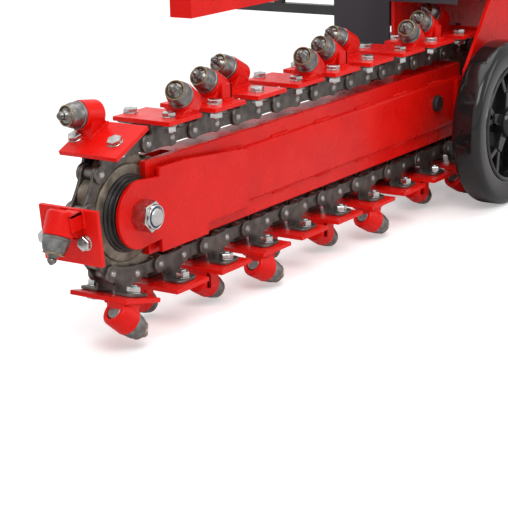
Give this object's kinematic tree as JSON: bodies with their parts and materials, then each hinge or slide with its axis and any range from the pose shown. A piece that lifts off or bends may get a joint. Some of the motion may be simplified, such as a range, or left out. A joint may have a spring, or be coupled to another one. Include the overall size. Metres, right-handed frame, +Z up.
{
  "type": "walk-behind trencher",
  "caption": "Walk-behind petrol trencher: a digging chain with bolted bullet-tooth cutters runs round a pivoting boom on a wheeled chassis with engine and handle.",
  "frame": {"origin": "centre of the bounding box on the ground, under the machine", "axes": "+X from the boom's nose to the handle, +Y to the side of the drive case, +Z up"},
  "size_m": [2.1641, 0.694, 1.0002],
  "materials": {
    "red_paint": "gloss red enamel over welded steel, with runs at the welds",
    "cutter": "gloss red plate and holder, satin steel bullet tooth with a dark carbide tip, zinc bolts",
    "chain_steel": "oiled dark steel with worn bright edges and pin ends",
    "cast_steel": "worn mottled brown-grey steel",
    "zinc": "bright zinc plate",
    "black_paint": "satin black powder coat",
    "handle_tube": "satin black powder-coated tube",
    "flap_sheet": "matt charcoal rubber sheet",
    "engine_alloy": "cast aluminium with black shrouds",
    "black_moulding": "gloss black moulding",
    "tank_moulding": "gloss red moulding",
    "muffler_steel": "heat-dulled pressed shield",
    "tyre_rubber": "smooth glossy solid black rubber"
  },
  "bodies": {
    "chassis": {"side_plate_near": "red_paint", "side_plate_far": "red_paint", "chain_hood": "red_paint", "debris_flap": "flap_sheet", "flap_frame": "black_paint", "guard_bar": "red_paint", "engine_deck": "black_paint", "rear_tube": "red_paint", "drive_shaft": "chain_steel", "drive_case": "black_paint", "stub_axle_near": "zinc", "stub_axle_far": "zinc", "engine_block": "engine_alloy", "recoil_cover": "black_moulding", "fuel_tank": "tank_moulding", "muffler": "muffler_steel", "handlebar": "handle_tube"},
    "boom": {"boom_beam": "red_paint", "nose_plate_near": "red_paint", "nose_plate_far": "red_paint", "nose_bolt": "zinc", "nose_nut": "zinc", "nose_sprocket": "cast_steel", "drive_sprocket": "cast_steel", "depth_quadrant": "red_paint", "digging_chain": "chain_steel", "cutter_01": "cutter", "cutter_02": "cutter", "cutter_03": "cutter", "cutter_04": "cutter", "cutter_05": "cutter", "cutter_06": "cutter", "cutter_07": "cutter", "cutter_08": "cutter", "cutter_09": "cutter", "cutter_10": "cutter", "cutter_11": "cutter", "cutter_12": "cutter", "cutter_13": "cutter", "cutter_14": "cutter", "cutter_15": "cutter", "cutter_16": "cutter", "cutter_17": "cutter", "cutter_18": "cutter", "cutter_19": "cutter", "cutter_20": "cutter", "cutter_21": "cutter", "cutter_22": "cutter", "cutter_23": "cutter", "cutter_24": "cutter"},
    "wheel_near": {"tyre_near": "tyre_rubber", "rim_near": "black_moulding"},
    "wheel_far": {"tyre_far": "tyre_rubber", "rim_far": "black_moulding"},
    "stand": {"parking_stand": "black_paint"},
    "clamp": {"depth_clamp": "zinc"},
    "clutch": {"clutch_lever": "red_paint"},
    "throttle": {"throttle_lever": "black_moulding"},
    "cap": {"fuel_cap": "black_moulding"},
    "starter": {"starter_grip": "black_moulding"}
  },
  "joints": [
    {"name": "boom_pivot", "type": "hinge", "parent": "chassis", "child": "boom", "pos_m": [0.04626, -0.07302, 0.16909], "axis": [0, 1, 0], "range_deg": [-40, 4]},
    {"name": "near_wheel_spin", "type": "hinge", "parent": "chassis", "child": "wheel_near", "pos_m": [-0.02874, -0.17902, 0.1375], "axis": [0, 1, 0], "continuous": true},
    {"name": "far_wheel_spin", "type": "hinge", "parent": "chassis", "child": "wheel_far", "pos_m": [-0.02874, 0.05628, 0.1375], "axis": [0, 1, 0], "continuous": true},
    {"name": "stand_fold", "type": "hinge", "parent": "chassis", "child": "stand", "pos_m": [0.54156, -0.07302, 0.25549], "axis": [0, 1, 0], "range_deg": [0, 60]},
    {"name": "clamp_turn", "type": "hinge", "parent": "chassis", "child": "clamp", "pos_m": [0.10626, -0.14302, 0.16909], "axis": [0, 1, 0], "range_deg": [-60, 0]},
    {"name": "clutch_squeeze", "type": "hinge", "parent": "chassis", "child": "clutch", "pos_m": [0.95626, -0.07302, 0.895], "axis": [0, 1, 0], "range_deg": [0, 20], "stiffness_Nm_per_rad": 6, "springref_deg": -28.65},
    {"name": "throttle_turn", "type": "hinge", "parent": "chassis", "child": "throttle", "pos_m": [1.06626, -0.07302, 0.95223], "axis": [0, 1, 0], "range_deg": [-35, 35]},
    {"name": "cap_turn", "type": "hinge", "parent": "chassis", "child": "cap", "pos_m": [0.39126, -0.11802, 0.62469], "axis": [0, 0, 1], "range_deg": [0, 90]},
    {"name": "starter_pull", "type": "slide", "parent": "chassis", "child": "starter", "axis": [0.93, 0, 0.3676], "range_m": [0, 0.35], "stiffness_N_per_m": 15, "springref_m": -0.15}
  ]
}
